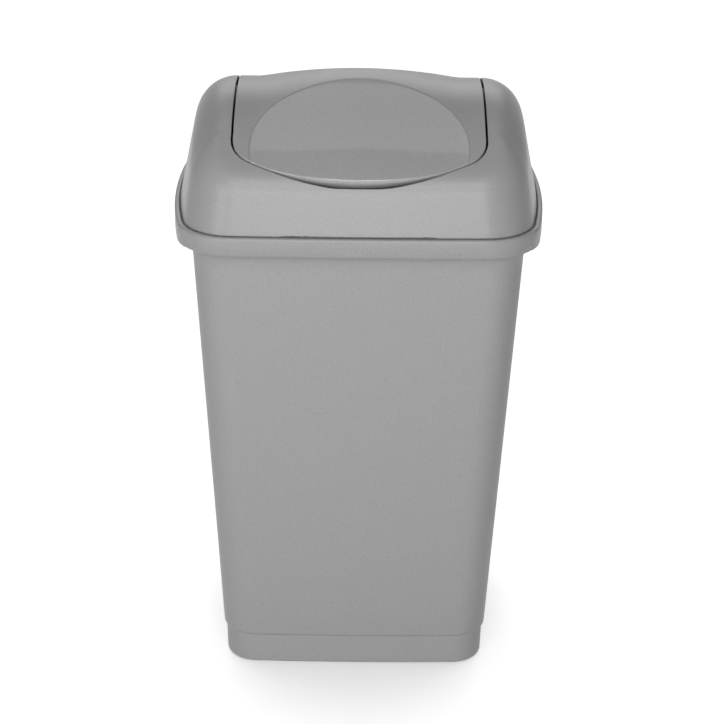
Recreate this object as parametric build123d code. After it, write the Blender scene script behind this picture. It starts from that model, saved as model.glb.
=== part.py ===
from build123d import *
from dataclasses import dataclass
import math
import os

# Swing-top kitchen bin. Millimetres, +Z up, front towards -Y, origin on the floor under the middle.

# Overall sizes
RIM_WIDTH = 400.0
RIM_DEPTH = 330.0
SEAM_HEIGHT = 532.0
CROWN_HEIGHT = 116.0

# Walls and fits
TUB_WALL = 2.2
FLOOR_THICKNESS = 3.0
COLLAR_WALL = 2.2
HOOD_WALL = 2.2
FLAP_WALL = 2.4
LIFT_CLEARANCE = 0.5
SWING_GAP = 2.0

# Tub
GRIP_OVERHANG = 21.4
FRONT_OVERHANG = 7.4
TUB_SIDE_TAPER = 26.3
TUB_FRONT_TAPER = 19.9
TUB_SIDE_BOW = 5.0
TUB_FRONT_BOW = 3.0
TUB_CORNER = 38.0
PLINTH_HEIGHT = 38.5
PLINTH_INSET = 2.5
PLINTH_DRAFT = 1.0
PLINTH_EDGE = 5.0
FOOT_RING_WIDTH = 14.0
FOOT_RECESS = 4.0
TUB_FLANGE = 2.0

# Collar
BAND_HEIGHT = 20.5
RIM_SIDE_BOW = 18.0
RIM_FRONT_BOW = 3.0
RIM_CORNER = 60.0
BAND_EDGE = 3.0
LEDGE_WIDTH = 5.5
BAG_WALL_DEPTH = 45.0
BAG_SPACE = 1.2
LOCATING_RIB_HEIGHT = 6.0
LOCATING_RIB = 2.0
GRIP_PROUD = 0.8
GRIP_HALF_LENGTH = 136.0

# Hood
HOOD_SIDE_LEAN = 11.4
HOOD_FRONT_LEAN = 10.0
HOOD_TOP_SIDE_BOW = 6.0
HOOD_TOP_FRONT_BOW = 2.0
HOOD_TOP_CORNER = 50.0
EAVE_DROP = 61.0
SHOULDER_RADIUS = 44.0
OPENING_FLANGE = 8.0

# Flap
CHEEK_WIDTH = 68.0
FLAP_END_RADIUS = 272.0
FLAP_CORNER = 28.0
FLAP_FLANGE = 8.0
HUMP_HEIGHT = 14.0
HUMP_STEPS = 8
FLAP_MARGIN = 20.0
PAD_RADIUS = 360.0
PAD_TOP_Y = -20.0
PAD_LIP_PROUD = 5.0
PAD_END_DEPTH = 0.6
PAD_END_RAMP = 5.0

# Pivot
PIVOT_DROP = 12.0
PIN_RADIUS = 4.0
PIN_RUNNING_CLEARANCE = 0.08
PIN_HEAD_RADIUS = 7.0
PIN_HEAD_THICKNESS = 3.0
PIN_TIP = 1.0
EAR_THICKNESS = 4.4
EAR_RADIUS = 12.0
BEARING_RADIUS = 9.0
BEARING_LENGTH = 6.0
LUG_RADIUS = 15.0
THRUST_GAP = 0.4

# Heights and places that follow
BAND_BOTTOM = SEAM_HEIGHT - BAND_HEIGHT
TUB_TOP = SEAM_HEIGHT - COLLAR_WALL
CROWN = SEAM_HEIGHT + CROWN_HEIGHT
PIVOT_HEIGHT = CROWN - PIVOT_DROP
EAVE_RISE = CROWN_HEIGHT - EAVE_DROP
EAVE_Y = RIM_DEPTH / 2 - LEDGE_WIDTH - EAVE_RISE * math.tan(math.radians(HOOD_FRONT_LEAN))
ROOF_RADIUS = (EAVE_Y**2 + EAVE_DROP**2) / (2 * EAVE_DROP)
ROOF_AXIS = CROWN - ROOF_RADIUS
FLAP_REACH = math.hypot(EAVE_Y, EAVE_DROP - PIVOT_DROP)
FLAP_HALF_WIDTH = RIM_WIDTH / 2 - CHEEK_WIDTH
PAD_HALF_WIDTH = FLAP_HALF_WIDTH - FLAP_MARGIN
HUMP_HALF_WIDTH = PAD_HALF_WIDTH
TUB_HALF_WIDTH = RIM_WIDTH / 2 - GRIP_OVERHANG
TUB_HALF_DEPTH = RIM_DEPTH / 2 - FRONT_OVERHANG
BIG = 2.0 * (RIM_WIDTH + CROWN)


@dataclass(frozen=True)
class Outline:
    """Rounded rectangle whose four sides swell outwards."""

    half_width: float
    half_depth: float
    side_bow: float
    front_bow: float
    corner: float

    def inset(self, amount):
        """The same outline, drawn in all round."""
        return Outline(
            self.half_width - amount,
            self.half_depth - amount,
            self.side_bow,
            self.front_bow,
            self.corner - amount,
        )

    def face(self, height):
        """The outline as a face at a height."""
        x = self.half_width - self.side_bow
        y = self.half_depth - self.front_bow
        sides = [
            ThreePointArc((x, -y), (self.half_width, 0), (x, y)),
            ThreePointArc((x, y), (0, self.half_depth), (-x, y)),
            ThreePointArc((-x, y), (-self.half_width, 0), (-x, -y)),
            ThreePointArc((-x, -y), (0, -self.half_depth), (x, -y)),
        ]
        sharp = make_face(sides)
        return Pos(0, 0, height) * fillet(sharp.vertices(), self.corner)

    def prism(self, low, high):
        """The outline as a straight block between two heights."""
        return extrude(self.face(low), high - low, dir=(0, 0, 1))


RIM = Outline(RIM_WIDTH / 2, RIM_DEPTH / 2, RIM_SIDE_BOW, RIM_FRONT_BOW, RIM_CORNER)


def tub_outline(height):
    """Outer outline of the tapered tub wall at a height."""
    share = (BAND_BOTTOM - height) / (BAND_BOTTOM - PLINTH_HEIGHT)
    return Outline(
        TUB_HALF_WIDTH - share * TUB_SIDE_TAPER,
        TUB_HALF_DEPTH - share * TUB_FRONT_TAPER,
        TUB_SIDE_BOW,
        TUB_FRONT_BOW,
        TUB_CORNER,
    )


def plinth_outline(height):
    """Outer outline of the recessed foot at a height."""
    drawn_in = PLINTH_INSET + PLINTH_DRAFT * (PLINTH_HEIGHT - height) / PLINTH_HEIGHT
    return tub_outline(PLINTH_HEIGHT).inset(drawn_in)


def hood_outline(height):
    """Outer outline of the leaning hood walls at a height."""
    rise = height - SEAM_HEIGHT
    share = rise / CROWN_HEIGHT
    base = RIM.inset(LEDGE_WIDTH)
    return Outline(
        base.half_width - rise * math.tan(math.radians(HOOD_SIDE_LEAN)),
        base.half_depth - rise * math.tan(math.radians(HOOD_FRONT_LEAN)),
        base.side_bow + share * (HOOD_TOP_SIDE_BOW - base.side_bow),
        base.front_bow + share * (HOOD_TOP_FRONT_BOW - base.front_bow),
        base.corner + share * (HOOD_TOP_CORNER - base.corner),
    )


def between(outline_at, low, high, inset=0.0):
    """Loft that follows an outline from one height to another."""
    bottom = outline_at(low).inset(inset).face(low)
    top = outline_at(high).inset(inset).face(high)
    return loft([bottom, top], ruled=True)


def disc(radius, low_x, high_x, height, y=0.0):
    """Round bar along X between two places."""
    bar = Rot(0, 90, 0) * Cylinder(radius, high_x - low_x)
    return Pos((low_x + high_x) / 2, y, height) * bar


def turned(profile, height, y=0.0):
    """Solid of revolution about an axis along X, from a profile of x and radius."""
    placed = Plane(origin=(0, y, height), x_dir=(1, 0, 0), z_dir=(0, 1, 0)) * profile
    return revolve(placed, Axis((0, y, height), (1, 0, 0)), 360)


def make_bin_body():
    """Tapered tub on a recessed foot, with a flat flange round its mouth."""
    outer = between(tub_outline, PLINTH_HEIGHT, TUB_TOP)
    foot = between(plinth_outline, 0.0, PLINTH_HEIGHT)
    foot = fillet(foot.faces().sort_by(Axis.Z)[0].edges(), PLINTH_EDGE)
    flange = RIM.inset(COLLAR_WALL + LIFT_CLEARANCE).prism(TUB_TOP - TUB_FLANGE, TUB_TOP)
    inside_step = PLINTH_HEIGHT + TUB_WALL
    floor_top = FOOT_RECESS + FLOOR_THICKNESS
    inside = between(tub_outline, inside_step, TUB_TOP, TUB_WALL)
    inside_foot = between(plinth_outline, floor_top, inside_step, TUB_WALL)
    recess = plinth_outline(0.0).inset(FOOT_RING_WIDTH).prism(0.0, FOOT_RECESS)
    return outer + foot + flange - inside - inside_foot - recess


def make_rim_collar():
    """Lift-off ring that hides the tub's flange and traps the bag."""
    grip_zone = Box(BIG, 2 * GRIP_HALF_LENGTH, BIG)
    band = RIM.prism(BAND_BOTTOM, SEAM_HEIGHT)
    band = fillet(band.faces().sort_by(Axis.Z)[-1].edges(), BAND_EDGE)
    grips = RIM.inset(-GRIP_PROUD).prism(BAND_BOTTOM, SEAM_HEIGHT)
    grips = fillet(grips.faces().sort_by(Axis.Z)[-1].edges(), BAND_EDGE)
    band += grips & grip_zone
    skirt_inside = RIM.inset(COLLAR_WALL).prism(BAND_BOTTOM, TUB_TOP)
    bag_low = SEAM_HEIGHT - BAG_WALL_DEPTH
    bag_outline = tub_outline(bag_low).inset(TUB_WALL + BAG_SPACE)
    bag_wall = bag_outline.prism(bag_low, SEAM_HEIGHT)
    mouth = bag_outline.inset(COLLAR_WALL).prism(bag_low, SEAM_HEIGHT)
    rib_top = SEAM_HEIGHT + LOCATING_RIB_HEIGHT
    rib_outline = hood_outline(rib_top).inset(HOOD_WALL + LIFT_CLEARANCE)
    rib = rib_outline.prism(TUB_TOP, rib_top) - rib_outline.inset(LOCATING_RIB).prism(TUB_TOP, rib_top)
    return band - skirt_inside + bag_wall - mouth + rib


def hood_form(inset):
    """Hood as a closed block: leaning walls under an arched roof, with soft shoulders."""
    walls = between(hood_outline, SEAM_HEIGHT, CROWN + PIVOT_DROP, inset)
    roof = disc(ROOF_RADIUS - inset, -BIG, BIG, ROOF_AXIS)
    block = walls & roof
    roof_face = block.faces().sort_by(Axis.Z)[-1]
    return fillet(roof_face.edges(), SHOULDER_RADIUS - inset)


def swing_tool(grow):
    """Everything the flap's outline sweeps as it turns, grown by a margin."""
    half = FLAP_HALF_WIDTH + grow
    reach = FLAP_REACH + grow
    end_radius = FLAP_END_RADIUS + grow
    side_reach = reach - end_radius + math.sqrt(end_radius**2 - half**2)
    end = ThreePointArc((-half, side_reach), (0, reach), (half, side_reach))
    sides = Polyline((half, side_reach), (half, 0), (-half, 0), (-half, side_reach))
    sharp = make_face([end, *sides.edges()])
    tips = sharp.vertices().sort_by(Axis.Y)[-2:]
    return turned(fillet(tips, FLAP_CORNER + grow), PIVOT_HEIGHT)


def ear(side, low_x, high_x, radius, inset):
    """Plate that hangs from the roof and carries the pivot, on one side."""
    width = high_x - low_x
    middle = side * (low_x + high_x) / 2
    plate = Pos(middle, 0, PIVOT_HEIGHT + PIVOT_DROP) * Box(width, 2 * radius, 2 * PIVOT_DROP)
    ends = sorted((side * low_x, side * high_x))
    round_end = disc(radius, ends[0], ends[1], PIVOT_HEIGHT)
    return (plate + round_end) & disc(ROOF_RADIUS - inset, -BIG, BIG, ROOF_AXIS)


def side_bar(side, low_x, high_x, radius):
    """Round bar on the pivot axis, on one side."""
    ends = sorted((side * low_x, side * high_x))
    return disc(radius, ends[0], ends[1], PIVOT_HEIGHT)


def make_lid_hood():
    """Domed lid with the flap's opening, its stiffening flange and two bearings."""
    shell = hood_form(0.0) - hood_form(HOOD_WALL)
    shell -= swing_tool(SWING_GAP)
    flange = hood_form(HOOD_WALL / 2) - disc(ROOF_RADIUS - OPENING_FLANGE, -BIG, BIG, ROOF_AXIS)
    flange &= swing_tool(SWING_GAP + HOOD_WALL) - swing_tool(SWING_GAP)
    hood = shell + flange
    web_x = FLAP_HALF_WIDTH + SWING_GAP
    for side in (-1, 1):
        hood += ear(side, web_x, web_x + HOOD_WALL, LUG_RADIUS, HOOD_WALL / 2)
        boss_x = FLAP_HALF_WIDTH + THRUST_GAP
        hood += side_bar(side, boss_x, web_x + BEARING_LENGTH, BEARING_RADIUS)
        bore = PIN_RADIUS + PIN_RUNNING_CLEARANCE
        hood -= side_bar(side, FLAP_HALF_WIDTH, web_x + BEARING_LENGTH, bore)
    return hood


def hump_rise(share):
    """How far the rib stands above the arch; share runs from -1 to 1 across it."""
    return HUMP_HEIGHT * (1 - share**2) ** 1.5


def across_flap(radius_at):
    """Points of a curve across the flap, from a formula of its radius over the share of its width."""
    shares = [step / HUMP_STEPS - 1 for step in range(2 * HUMP_STEPS + 1)]
    return [(share * HUMP_HALF_WIDTH, radius_at(share)) for share in shares]


def hump_form(inset):
    """Solid under the flap's arched face, swelling to a rib along the middle."""
    radius = ROOF_RADIUS - inset
    far = FLAP_HALF_WIDTH + SWING_GAP
    swell = across_flap(lambda share: radius + hump_rise(share))
    crest = Spline(swell, tangents=[(1, 0), (1, 0)])
    rest = Polyline(
        (HUMP_HALF_WIDTH, radius), (far, radius), (far, 0), (-far, 0), (-far, radius), (-HUMP_HALF_WIDTH, radius)
    )
    return turned(make_face([crest, *rest.edges()]), ROOF_AXIS)


def pad_tool(inset, way):
    """Drum whose side is the flatter face of a push pad; way is -1 at the front, 1 at the back."""
    top_radius = ROOF_RADIUS + HUMP_HEIGHT
    lip_radius = ROOF_RADIUS + PAD_LIP_PROUD
    top = Vector(-PAD_TOP_Y, ROOF_AXIS + math.sqrt(top_radius**2 - PAD_TOP_Y**2))
    lip_angle = math.atan2(EAVE_Y, ROOF_RADIUS - EAVE_DROP)
    lip = Vector(lip_radius * math.sin(lip_angle), ROOF_AXIS + lip_radius * math.cos(lip_angle))
    chord = lip - top
    middle = (lip + top) / 2
    fall = math.sqrt(PAD_RADIUS**2 - (chord.length / 2) ** 2)
    inward = Vector(chord.Y, -chord.X).normalized()
    centre = middle + inward * fall
    from_roof = math.hypot(centre.X, centre.Y - ROOF_AXIS) + ROOF_RADIUS
    depth = from_roof + HUMP_HEIGHT - PAD_RADIUS

    def face(share):
        """Radius of the drum, which sinks the pad into the rib by an oval's rule."""
        return from_roof + hump_rise(share) - depth * (1 - share**2) - PAD_END_DEPTH * share**2

    side = from_roof - PAD_END_DEPTH
    clear = from_roof + PAD_END_DEPTH
    ramp = PAD_HALF_WIDTH + PAD_END_RAMP
    crown = Spline(across_flap(face))
    far = FLAP_HALF_WIDTH + SWING_GAP
    rest = Polyline(
        (PAD_HALF_WIDTH, side),
        (ramp, clear),
        (far, clear),
        (far, inset),
        (-far, inset),
        (-far, clear),
        (-ramp, clear),
        (-PAD_HALF_WIDTH, side),
    )
    profile = Pos(0, -inset) * make_face([crown, *rest.edges()])
    return turned(profile, centre.Y, way * centre.X)


def flap_form(inset):
    """Solid under the flap's whole outer face, both pads included."""
    return hump_form(inset) & pad_tool(inset, -1) & pad_tool(inset, 1)


def make_swing_flap():
    """Push flap: arched panel with a rib, two smooth pads, an edge flange and two ears."""
    form = flap_form(0.0)
    outline = swing_tool(0.0)
    panel = (form - flap_form(FLAP_WALL)) & outline
    edge = (form - disc(ROOF_RADIUS - FLAP_FLANGE, -BIG, BIG, ROOF_AXIS)) & (outline - swing_tool(-FLAP_WALL))
    quarter = (panel + edge) & Pos(BIG / 2, -BIG / 2, 0) * Box(BIG, BIG, 2 * BIG)
    half = quarter + mirror(quarter, Plane.XZ)
    flap = half + mirror(half, Plane.YZ)
    for side in (-1, 1):
        flap += ear(side, FLAP_HALF_WIDTH - EAR_THICKNESS, FLAP_HALF_WIDTH, EAR_RADIUS, FLAP_WALL / 2)
        flap -= side_bar(side, 0.0, FLAP_HALF_WIDTH, PIN_RADIUS)
    return flap


def make_pivot_pin(side):
    """Headed pin pushed outwards through the flap's ear into the hood's bearing."""
    inner = FLAP_HALF_WIDTH - EAR_THICKNESS
    tip = FLAP_HALF_WIDTH + SWING_GAP + BEARING_LENGTH + PIN_TIP
    shaft = side_bar(side, inner, tip, PIN_RADIUS)
    outer_face = shaft.faces().sort_by(lambda face: side * face.center().X)[-1]
    shaft = chamfer(outer_face.edges(), PIN_TIP)
    head = side_bar(side, inner - PIN_HEAD_THICKNESS, inner, PIN_HEAD_RADIUS)
    return shaft + head


if __name__ == "__main__":
    os.makedirs("parts", exist_ok=True)
    pieces = {
        "bin_body": make_bin_body,
        "rim_collar": make_rim_collar,
        "lid_hood": make_lid_hood,
        "swing_flap": make_swing_flap,
        "pivot_pin_left": lambda: make_pivot_pin(-1),
        "pivot_pin_right": lambda: make_pivot_pin(1),
    }
    for name, make in pieces.items():
        piece = make()
        export_step(piece, f"parts/{name}.step")
        print(name, piece.is_valid, round(piece.volume), len(piece.solids()))
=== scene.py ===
"""Looks of a swing-top kitchen bin: smooth shells, moulded plastic, a white studio and the camera."""

import logging
import math
from collections.abc import Callable
from dataclasses import dataclass, replace
from enum import Enum

import bmesh
import bpy
import numpy as np
from mathutils import Matrix, Vector

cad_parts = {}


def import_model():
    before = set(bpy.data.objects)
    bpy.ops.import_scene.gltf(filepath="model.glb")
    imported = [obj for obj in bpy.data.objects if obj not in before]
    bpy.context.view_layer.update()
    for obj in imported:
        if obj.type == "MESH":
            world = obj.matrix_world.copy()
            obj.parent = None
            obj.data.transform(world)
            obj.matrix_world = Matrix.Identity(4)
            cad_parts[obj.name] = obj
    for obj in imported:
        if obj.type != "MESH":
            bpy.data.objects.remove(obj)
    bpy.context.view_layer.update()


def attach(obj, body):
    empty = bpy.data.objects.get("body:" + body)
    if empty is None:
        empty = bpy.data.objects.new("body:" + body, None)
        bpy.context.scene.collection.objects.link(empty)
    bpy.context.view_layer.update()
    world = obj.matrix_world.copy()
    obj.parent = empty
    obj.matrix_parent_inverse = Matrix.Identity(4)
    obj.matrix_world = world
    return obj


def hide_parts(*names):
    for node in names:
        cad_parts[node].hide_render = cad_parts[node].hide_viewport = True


LOG = logging.getLogger("bin")
MM = 0.001
WELD = 0.01 * MM
SIDES = (-1, 1)
Points = np.ndarray
Surface = Callable[[Points, Points], Points]
Material = bpy.types.Material
Socket = bpy.types.NodeSocket


class Body(Enum):
    """The moving bodies that the pieces ride on."""

    BIN = "bin"
    COLLAR = "collar"
    LID = "lid"
    FLAP = "flap"


class Slot(Enum):
    """The record's material slots."""

    TUB = "tub_plastic"
    COLLAR = "collar_plastic"
    HOOD = "hood_plastic"
    FLAP = "flap_plastic"
    PIN = "pin_plastic"


@dataclass(frozen=True)
class SoftOutline:
    """Rounded rectangle whose four sides swell outwards. Sizes in millimetres, single or arrays."""

    half_width: Points
    half_depth: Points
    side_bow: Points
    front_bow: Points
    corner: Points

    def inset(self, amount: float) -> "SoftOutline":
        """The same outline, drawn in all round."""
        width, depth = self.half_width - amount, self.half_depth - amount
        return replace(self, half_width=width, half_depth=depth, corner=self.corner - amount)

    def circles(self) -> tuple[Points, ...]:
        """Finds the circles that the outline is made of.

        Returns:
            Side radius, side centre x, front radius, front centre y, corner centre x and y.
        """
        x = self.half_width - self.side_bow
        y = self.half_depth - self.front_bow
        side = (y * y + self.side_bow**2) / (2 * self.side_bow)
        front = (x * x + self.front_bow**2) / (2 * self.front_bow)
        side_x = self.half_width - side
        front_y = self.half_depth - front
        gap = np.hypot(side_x, front_y)
        from_side = side - self.corner
        from_front = front - self.corner
        along = (from_side**2 - from_front**2 + gap**2) / (2 * gap)
        across = np.sqrt(from_side**2 - along**2)
        unit_x, unit_y = -side_x / gap, front_y / gap
        corner_x = side_x + along * unit_x - across * unit_y
        corner_y = along * unit_y + across * unit_x
        return side, side_x, front, front_y, corner_x, corner_y

    def points(self, per_side: int, per_corner: int) -> Points:
        """Samples the outline anticlockwise from the middle of the right side.

        Args:
            per_side: Steps on each half side.
            per_corner: Steps on each corner.

        Returns:
            Array of x and y.
        """
        side, side_x, front, front_y, corner_x, corner_y = self.circles()
        low = math.atan2(corner_y, corner_x - side_x)
        high = math.atan2(corner_y - front_y, corner_x)
        first = np.linspace(0, low, per_side, endpoint=False)
        second = np.linspace(low, high, per_corner, endpoint=False)
        third = np.linspace(high, math.pi / 2, per_side, endpoint=False)
        arcs = (
            np.c_[side_x + side * np.cos(first), side * np.sin(first)],
            np.c_[corner_x + self.corner * np.cos(second), corner_y + self.corner * np.sin(second)],
            np.c_[front * np.cos(third), front_y + front * np.sin(third)],
        )
        return mirrored_quarter(np.vstack(arcs), (0.0, self.half_depth))

    def distance(self, x: Points, y: Points) -> Points:
        """Measures how far points in the outline's plane lie from it.

        Args:
            x: The points' x.
            y: The points' y.

        Returns:
            Signed distances, negative inside.
        """
        side, side_x, front, front_y, corner_x, corner_y = self.circles()
        across, along = np.abs(x), np.abs(y)
        low = np.arctan2(corner_y, corner_x - side_x)
        high = np.arctan2(corner_y - front_y, corner_x)
        angle = np.arctan2(along - corner_y, across - corner_x)
        to_corner = np.hypot(across - corner_x, along - corner_y) - self.corner
        to_side = np.hypot(across - side_x, along) - side
        to_front = np.hypot(across, along - front_y) - front
        in_corner = (angle > low) & (angle < high)
        return np.where(in_corner, to_corner, np.maximum(to_side, to_front))


def mirrored_quarter(quarter: Points, end: tuple[float, float]) -> Points:
    """Completes a closed loop from its first quarter, which starts on the x axis.

    Args:
        quarter: Points from the x axis up to, but without, the y axis.
        end: The point on the y axis.

    Returns:
        The whole loop, anticlockwise.
    """
    half = np.vstack([quarter, [end], quarter[:0:-1] * (-1, 1)])
    return np.vstack([half, -half])


def rounded_max(first: Points, second: Points, turn: Points, radius: float) -> Points:
    """Distance to the overlap of two solids whose shared edge is rounded.

    Args:
        first: Signed distance to one solid.
        second: Signed distance to the other.
        turn: Cosine of the angle between the two faces' outward directions.
        radius: Radius of the rounding.

    Returns:
        Signed distance to the rounded overlap.
    """
    a = first + radius
    b = second + radius
    square = (a * a + b * b - 2 * a * b * turn) / (1 - turn * turn)
    in_bend = (np.minimum(a, b) > np.maximum(a, b) * turn) & (np.maximum(a, b) > 0)
    return np.where(in_bend, np.sqrt(np.maximum(square, 0)), np.maximum(a, b)) - radius


def slope(field_at: Callable[[Points], Points], points: Points, step: float = 0.02) -> Points:
    """Directions in which a distance field grows fastest, from a small step along each axis."""
    shifts = step * np.eye(3)
    return unit(np.stack([field_at(points + shift) - field_at(points - shift) for shift in shifts], axis=-1))


def soft_min(first: Points, second: Points, blend: float) -> Points:
    """Smaller of two values, with the crease between them softened."""
    share = np.maximum(blend - np.abs(first - second), 0) / blend
    return np.minimum(first, second) - share * share * blend / 4


def bisect(value_at: Callable[[Points], Points], low: Points, high: Points, halvings: int = 50) -> Points:
    """Finds where a falling function crosses zero.

    Args:
        value_at: Function of an array, above zero at low and below zero at high.
        low: Start of each range.
        high: End of each range.
        halvings: How often each range is halved.

    Returns:
        The crossing in each range.
    """
    for _ in range(halvings):
        middle = (low + high) / 2
        above = value_at(middle) > 0
        low = np.where(above, middle, low)
        high = np.where(above, high, middle)
    return (low + high) / 2


def unit(vectors: Points) -> Points:
    """Vectors scaled to length one."""
    return vectors / np.linalg.norm(vectors, axis=-1, keepdims=True)


def bend(start: Points, corner: Points, end: Points, steps: int) -> list[Points]:
    """Rows of points inside a rounded corner between two rows, without its ends."""
    shares = np.linspace(0, 1, steps + 2)[1:-1]
    return [(1 - share) ** 2 * start + 2 * share * (1 - share) * corner + share**2 * end for share in shares]


@dataclass(frozen=True)
class BinSizes:
    """Driving sizes of the bin in millimetres, the same as those of its solids."""

    rim_width: float = 400.0
    rim_depth: float = 330.0
    seam_height: float = 532.0
    crown_height: float = 116.0
    wall: float = 2.2
    swing_gap: float = 2.0
    grip_overhang: float = 21.4
    front_overhang: float = 7.4
    tub_side_taper: float = 26.3
    tub_front_taper: float = 19.9
    tub_side_bow: float = 5.0
    tub_front_bow: float = 3.0
    tub_corner: float = 38.0
    plinth_height: float = 38.5
    plinth_inset: float = 2.5
    plinth_draft: float = 1.0
    band_height: float = 20.5
    rim_side_bow: float = 18.0
    rim_front_bow: float = 3.0
    rim_corner: float = 60.0
    ledge_width: float = 5.5
    side_lean: float = 11.4
    front_lean: float = 10.0
    top_side_bow: float = 6.0
    top_front_bow: float = 2.0
    top_corner: float = 50.0
    eave_drop: float = 61.0
    shoulder_radius: float = 44.0
    cheek_width: float = 68.0
    flap_end_radius: float = 272.0
    flap_corner: float = 28.0
    flap_wall: float = 2.4
    hump_height: float = 13.95
    flap_margin: float = 20.0
    pad_radius: float = 360.0
    pad_top: float = 20.0
    pad_lip_proud: float = 5.0
    pad_end_depth: float = 0.6
    pad_end_ramp: float = 5.0
    pivot_drop: float = 12.0
    bearing_length: float = 6.0
    ear_thickness: float = 4.4

    @property
    def rim(self) -> SoftOutline:
        """Outer outline of the collar."""
        bows = (self.rim_side_bow, self.rim_front_bow)
        return SoftOutline(self.rim_width / 2, self.rim_depth / 2, *bows, self.rim_corner)

    @property
    def band_bottom(self) -> float:
        """Height of the collar's lower edge."""
        return self.seam_height - self.band_height

    @property
    def crown(self) -> float:
        """Height of the hood's highest line."""
        return self.seam_height + self.crown_height

    @property
    def pivot_height(self) -> float:
        """Height of the flap's pivot."""
        return self.crown - self.pivot_drop

    @property
    def eave_y(self) -> float:
        """How far forward the roof's arch meets the front wall."""
        rise = self.crown_height - self.eave_drop
        return self.rim_depth / 2 - self.ledge_width - rise * math.tan(math.radians(self.front_lean))

    @property
    def roof_radius(self) -> float:
        """Radius of the roof's arch."""
        return (self.eave_y**2 + self.eave_drop**2) / (2 * self.eave_drop)

    @property
    def roof_axis(self) -> float:
        """Height of the roof's centre line."""
        return self.crown - self.roof_radius

    @property
    def flap_reach(self) -> float:
        """How far the flap's ends lie from its pivot."""
        return math.hypot(self.eave_y, self.eave_drop - self.pivot_drop)

    @property
    def flap_half_width(self) -> float:
        """Half the width of the flap."""
        return self.rim_width / 2 - self.cheek_width

    @property
    def pad_half_width(self) -> float:
        """Half the width of the rib and the pads."""
        return self.flap_half_width - self.flap_margin

    def tub_outline(self, height: float) -> SoftOutline:
        """Finds the outer outline of the tub's wall.

        Args:
            height: Height above the ground.

        Returns:
            The outline there.
        """
        share = (self.band_bottom - height) / (self.band_bottom - self.plinth_height)
        width = self.rim_width / 2 - self.grip_overhang - share * self.tub_side_taper
        depth = self.rim_depth / 2 - self.front_overhang - share * self.tub_front_taper
        return SoftOutline(width, depth, self.tub_side_bow, self.tub_front_bow, self.tub_corner)

    def plinth_outline(self, height: float) -> SoftOutline:
        """Outer outline of the recessed foot at a height."""
        share = (self.plinth_height - height) / self.plinth_height
        return self.tub_outline(self.plinth_height).inset(self.plinth_inset + self.plinth_draft * share)

    def hood_outline(self, height: Points) -> SoftOutline:
        """Finds the outer outline of the hood's leaning walls.

        Args:
            height: One height or many.

        Returns:
            The outline there, with arrays for its sizes where there are many heights.
        """
        rise = height - self.seam_height
        share = rise / self.crown_height
        base = self.rim.inset(self.ledge_width)
        return SoftOutline(
            base.half_width - rise * math.tan(math.radians(self.side_lean)),
            base.half_depth - rise * math.tan(math.radians(self.front_lean)),
            base.side_bow + share * (self.top_side_bow - base.side_bow),
            base.front_bow + share * (self.top_front_bow - base.front_bow),
            base.corner + share * (self.top_corner - base.corner),
        )

    def on_arch(self, x: Points, angle: Points, radius: Points) -> Points:
        """Points at distances from the roof's centre line, by x and roof angle."""
        return np.stack([x, radius * np.sin(angle), self.roof_axis + radius * np.cos(angle)], axis=-1)


def link_object(name: str, content: bpy.types.ID) -> bpy.types.Object:
    """Makes an object at the origin and puts it in the scene.

    Args:
        name: The object's name.
        content: Its mesh, lamp or camera.

    Returns:
        The new object.
    """
    holder = bpy.data.objects.new(name, content)
    bpy.context.scene.collection.objects.link(holder)
    return holder


class Shell:
    """Collects rows of points and turns them into one mesh object."""

    def __init__(self) -> None:
        """Starts with no points."""
        self.corners: list[Points] = []
        self.faces: list[list[int]] = []
        self.count = 0

    def add(self, points: Points) -> Points:
        """Stores points.

        Args:
            points: Array with the coordinates along its last axis.

        Returns:
            The points' numbers, in the same arrangement.
        """
        self.corners.append(points.reshape(-1, 3))
        numbers = np.arange(self.count, self.count + len(self.corners[-1]))
        self.count += len(numbers)
        return numbers.reshape(points.shape[:-1])

    def join(self, first: Points, second: Points, closed: bool = True) -> None:
        """Fills the strip between two rows of numbered points, all the way round if closed."""
        corners = np.stack([first, np.roll(first, -1), np.roll(second, -1), second], axis=-1)
        self.faces += (corners if closed else corners[:-1]).tolist()

    def loft(self, rows: list[Points], closed_way: bool = False) -> list[Points]:
        """Joins closed loops one after another.

        Args:
            rows: Loops with the same number of points.
            closed_way: Whether the last loop also joins the first.

        Returns:
            The numbers of each loop's points.
        """
        numbers = [self.add(row) for row in rows]
        for first, second in zip(numbers, numbers[1:]):
            self.join(first, second)
        if closed_way:
            self.join(numbers[-1], numbers[0])
        return numbers

    def grid(self, points: Points) -> None:
        """Fills a rectangular net of points.

        Args:
            points: Array of rows, columns and coordinates.
        """
        numbers = self.add(points)
        for first, second in zip(numbers, numbers[1:]):
            self.join(first, second, closed=False)

    def cap(self, loop: Points) -> None:
        """Closes a flat loop with one face."""
        self.faces.append(loop.tolist())

    def build(self, name: str) -> bpy.types.Object:
        """Makes the object, in metres, with its faces outwards and smooth.

        Args:
            name: The piece's name.

        Returns:
            The new object.
        """
        mesh = bpy.data.meshes.new(name)
        mesh.from_pydata((np.vstack(self.corners) * MM).tolist(), [], self.faces)
        work = bmesh.new()
        work.from_mesh(mesh)
        bmesh.ops.remove_doubles(work, verts=work.verts, dist=WELD)
        bmesh.ops.recalc_face_normals(work, faces=work.faces)
        work.to_mesh(mesh)
        work.free()
        mesh.shade_smooth()
        return link_object(name, mesh)


def ring(outline: SoftOutline, height: float, per_side: int = 24, per_corner: int = 20) -> Points:
    """An outline as a closed loop in space."""
    flat = outline.points(per_side, per_corner)
    return np.c_[flat, np.full(len(flat), height)]


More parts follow.
